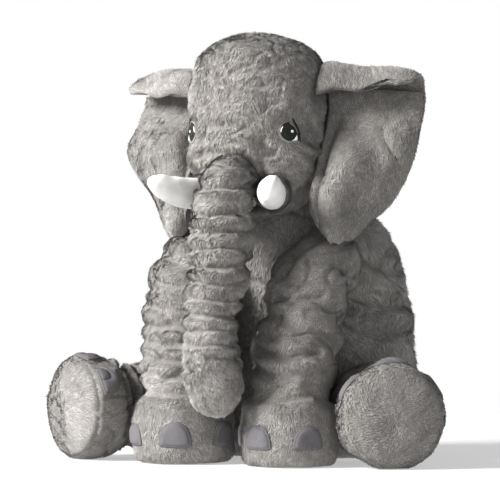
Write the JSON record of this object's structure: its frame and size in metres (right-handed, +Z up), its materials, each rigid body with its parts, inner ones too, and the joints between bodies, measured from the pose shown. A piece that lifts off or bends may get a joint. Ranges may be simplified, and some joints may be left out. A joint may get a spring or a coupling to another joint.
{
  "type": "stuffed elephant",
  "caption": "Large seated plush elephant with short grey pile, floppy folded ears, hanging trunk, cloth tusks and nails, stuffed to sit upright on the floor.",
  "frame": {"origin": "on the ground under the middle of the toy's bounding box", "axes": "+Z up, -Y the way the elephant looks, +X its left side"},
  "size_m": [0.5858, 0.482, 0.589],
  "materials": {
    "grey_pile": "short brushed pile",
    "stuffing": "loose polyester fibre",
    "tusk_cloth": "smooth brushed cloth",
    "nail_cloth": "smooth flat cloth",
    "eye_thread_light": "satin stitch",
    "eye_thread_dark": "satin stitch",
    "label_tape": "woven tape, blank"
  },
  "bodies": {
    "torso": {"torso_cover": "grey_pile", "torso_fill": "stuffing", "care_label": "label_tape"},
    "neck": {"neck_fill": "stuffing"},
    "head": {"head_cover": "grey_pile", "head_fill": "stuffing", "lower_lip": "grey_pile", "eye_patch_left": "eye_thread_light", "eye_patch_right": "eye_thread_light", "eye_iris_left": "eye_thread_dark", "eye_iris_right": "eye_thread_dark", "tusk_cover_left": "tusk_cloth", "tusk_cover_right": "tusk_cloth", "tusk_fill_left": "stuffing", "tusk_fill_right": "stuffing"},
    "tail": {"tail_cover": "grey_pile", "tail_tuft": "grey_pile"},
    "trunk_base": {"trunk_base_cover": "grey_pile", "trunk_base_fill": "stuffing"},
    "trunk_mid": {"trunk_mid_cover": "grey_pile", "trunk_mid_fill": "stuffing"},
    "trunk_tip": {"trunk_tip_cover": "grey_pile", "trunk_tip_fill": "stuffing"},
    "ear_left": {"ear_front_left": "grey_pile", "ear_back_left": "grey_pile"},
    "foreleg_left": {"foreleg_cover_left": "grey_pile", "foreleg_fill_left": "stuffing", "forefoot_sole_left": "grey_pile", "forefoot_nail_inner_left": "nail_cloth", "forefoot_nail_middle_left": "nail_cloth", "forefoot_nail_outer_left": "nail_cloth"},
    "hindleg_left": {"hindleg_cover_left": "grey_pile", "hindleg_fill_left": "stuffing", "hindfoot_sole_left": "grey_pile", "hindfoot_nail_inner_left": "nail_cloth", "hindfoot_nail_middle_left": "nail_cloth", "hindfoot_nail_outer_left": "nail_cloth"},
    "ear_right": {"ear_front_right": "grey_pile", "ear_back_right": "grey_pile"},
    "foreleg_right": {"foreleg_cover_right": "grey_pile", "foreleg_fill_right": "stuffing", "forefoot_sole_right": "grey_pile", "forefoot_nail_inner_right": "nail_cloth", "forefoot_nail_middle_right": "nail_cloth", "forefoot_nail_outer_right": "nail_cloth"},
    "hindleg_right": {"hindleg_cover_right": "grey_pile", "hindleg_fill_right": "stuffing", "hindfoot_sole_right": "grey_pile", "hindfoot_nail_inner_right": "nail_cloth", "hindfoot_nail_middle_right": "nail_cloth", "hindfoot_nail_outer_right": "nail_cloth"}
  },
  "joints": [
    {"name": "neck_turn", "type": "hinge", "parent": "torso", "child": "neck", "pos_m": [0, 0.01, 0.36], "axis": [0, 0, 1], "range_deg": [-8, 8], "stiffness_Nm_per_rad": 2},
    {"name": "head_nod", "type": "hinge", "parent": "neck", "child": "head", "pos_m": [0, 0.01, 0.36], "axis": [-1, 0, 0], "range_deg": [0, 15], "stiffness_Nm_per_rad": 3},
    {"name": "ear_flap_left", "type": "hinge", "parent": "head", "child": "ear_left", "pos_m": [0.1, -0.03, 0.49], "axis": [0, 0, -1], "range_deg": [-20, 12], "stiffness_Nm_per_rad": 0.08},
    {"name": "ear_flap_right", "type": "hinge", "parent": "head", "child": "ear_right", "pos_m": [-0.1, -0.03, 0.49], "axis": [0, 0, 1], "range_deg": [-20, 12], "stiffness_Nm_per_rad": 0.08},
    {"name": "trunk_base_lift", "type": "hinge", "parent": "head", "child": "trunk_base", "pos_m": [0, -0.128, 0.398], "axis": [-1, 0, 0], "range_deg": [0, 12], "stiffness_Nm_per_rad": 1.2},
    {"name": "trunk_mid_curl", "type": "hinge", "parent": "trunk_base", "child": "trunk_mid", "pos_m": [0, -0.164, 0.312], "axis": [-1, 0, 0], "range_deg": [0, 8], "stiffness_Nm_per_rad": 0.6},
    {"name": "trunk_tip_curl", "type": "hinge", "parent": "trunk_mid", "child": "trunk_tip", "pos_m": [0, -0.195, 0.215], "axis": [-1, 0, 0], "range_deg": [0, 8], "stiffness_Nm_per_rad": 0.3},
    {"name": "foreleg_swing_left", "type": "hinge", "parent": "torso", "child": "foreleg_left", "pos_m": [0.098, -0.058, 0.25], "axis": [-1, 0, 0], "range_deg": [0, 8], "stiffness_Nm_per_rad": 2.5},
    {"name": "foreleg_swing_right", "type": "hinge", "parent": "torso", "child": "foreleg_right", "pos_m": [-0.098, -0.058, 0.25], "axis": [-1, 0, 0], "range_deg": [0, 8], "stiffness_Nm_per_rad": 2.5},
    {"name": "hindleg_lift_left", "type": "hinge", "parent": "torso", "child": "hindleg_left", "pos_m": [0.1368, 0.01654, 0.072], "axis": [-0.8387, -0.5446, 0], "range_deg": [0, 15], "stiffness_Nm_per_rad": 2.5},
    {"name": "hindleg_lift_right", "type": "hinge", "parent": "torso", "child": "hindleg_right", "pos_m": [-0.1368, 0.01654, 0.072], "axis": [-0.8387, 0.5446, 0], "range_deg": [0, 15], "stiffness_Nm_per_rad": 2.5},
    {"name": "tail_sway", "type": "hinge", "parent": "torso", "child": "tail", "pos_m": [0, 0.22, 0.135], "axis": [0, 1, 0], "range_deg": [-20, 20], "stiffness_Nm_per_rad": 0.02}
  ]
}
